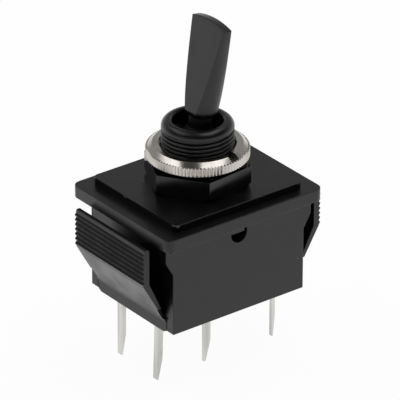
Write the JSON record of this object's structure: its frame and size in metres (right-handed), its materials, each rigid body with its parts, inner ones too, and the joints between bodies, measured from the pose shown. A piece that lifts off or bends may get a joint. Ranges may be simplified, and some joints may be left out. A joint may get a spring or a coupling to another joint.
{
  "type": "panel toggle switch",
  "caption": "Panel toggle switch: flat paddle lever in a threaded bush with a hexagon nut and a knurled ring nut, snap-in housing, solder tails below.",
  "frame": {"origin": "on the bush axis, in the top face of the cover, where the hexagon nut sits", "axes": "+Z along the bush axis, out of the panel; +X along the body, the way the lever is thrown; +Y across the body, from the front pole to the rear pole"},
  "size_m": [0.0365, 0.0262, 0.0589],
  "materials": {
    "black_satin_plastic": "satin moulded black",
    "black_gloss_plastic": "polished moulded black",
    "lever_plastic": "satin moulded black",
    "nickel_plate": "bright nickel plate over turned brass",
    "spring_steel": "drawn wire",
    "natural_plastic": "natural moulded",
    "copper_alloy": "stamped and tumbled",
    "silver_contact": "headed silver alloy",
    "tinned_terminal": "tin plated, dull"
  },
  "bodies": {
    "switch_body": {"housing": "black_satin_plastic", "cover_bush": "black_gloss_plastic", "terminal_base": "black_satin_plastic", "hex_nut": "black_gloss_plastic", "ring_nut": "nickel_plate", "fixed_contact_front_left": "silver_contact", "fixed_contact_front_right": "silver_contact", "fixed_contact_rear_left": "silver_contact", "fixed_contact_rear_right": "silver_contact", "common_terminal_front": "tinned_terminal", "common_terminal_rear": "tinned_terminal", "throw_terminal_front_left": "tinned_terminal", "throw_terminal_front_right": "tinned_terminal", "throw_terminal_rear_left": "tinned_terminal", "throw_terminal_rear_right": "tinned_terminal"},
    "lever": {"lever": "lever_plastic", "pivot_pin": "spring_steel", "plunger_spring_front": "spring_steel", "plunger_spring_rear": "spring_steel"},
    "plunger_front": {"plunger_front": "natural_plastic"},
    "plunger_rear": {"plunger_rear": "natural_plastic"},
    "rocker_front": {"rocker_blade_front": "copper_alloy", "moving_contact_front_left": "silver_contact", "moving_contact_front_right": "silver_contact"},
    "rocker_rear": {"rocker_blade_rear": "copper_alloy", "moving_contact_rear_left": "silver_contact", "moving_contact_rear_right": "silver_contact"}
  },
  "joints": [
    {"name": "lever_swing", "type": "hinge", "parent": "switch_body", "child": "lever", "pos_m": [0, 0, 0.0071], "axis": [0, 1, 0], "range_deg": [-16, 0]},
    {"name": "rocker_front_tilt", "type": "hinge", "parent": "switch_body", "child": "rocker_front", "pos_m": [0, -0.00508, -0.0125], "axis": [0, 1, 0], "range_deg": [0, 12]},
    {"name": "rocker_rear_tilt", "type": "hinge", "parent": "switch_body", "child": "rocker_rear", "pos_m": [0, 0.00508, -0.0125], "axis": [0, 1, 0], "range_deg": [0, 12]},
    {"name": "plunger_front_slide", "type": "slide", "parent": "lever", "child": "plunger_front", "axis": [0.1392, 0, 0.9903], "range_m": [0, 0.0009], "stiffness_N_per_m": 1000, "springref_m": -0.001, "deforming": ["plunger_spring_front"]},
    {"name": "plunger_rear_slide", "type": "slide", "parent": "lever", "child": "plunger_rear", "axis": [0.1392, 0, 0.9903], "range_m": [0, 0.0009], "stiffness_N_per_m": 1000, "springref_m": -0.001, "deforming": ["plunger_spring_rear"]}
  ],
  "couplings": [
    {"joint": "rocker_front_tilt", "follows": "lever_swing", "ratio": -0.75},
    {"joint": "rocker_rear_tilt", "follows": "lever_swing", "ratio": -0.75}
  ]
}
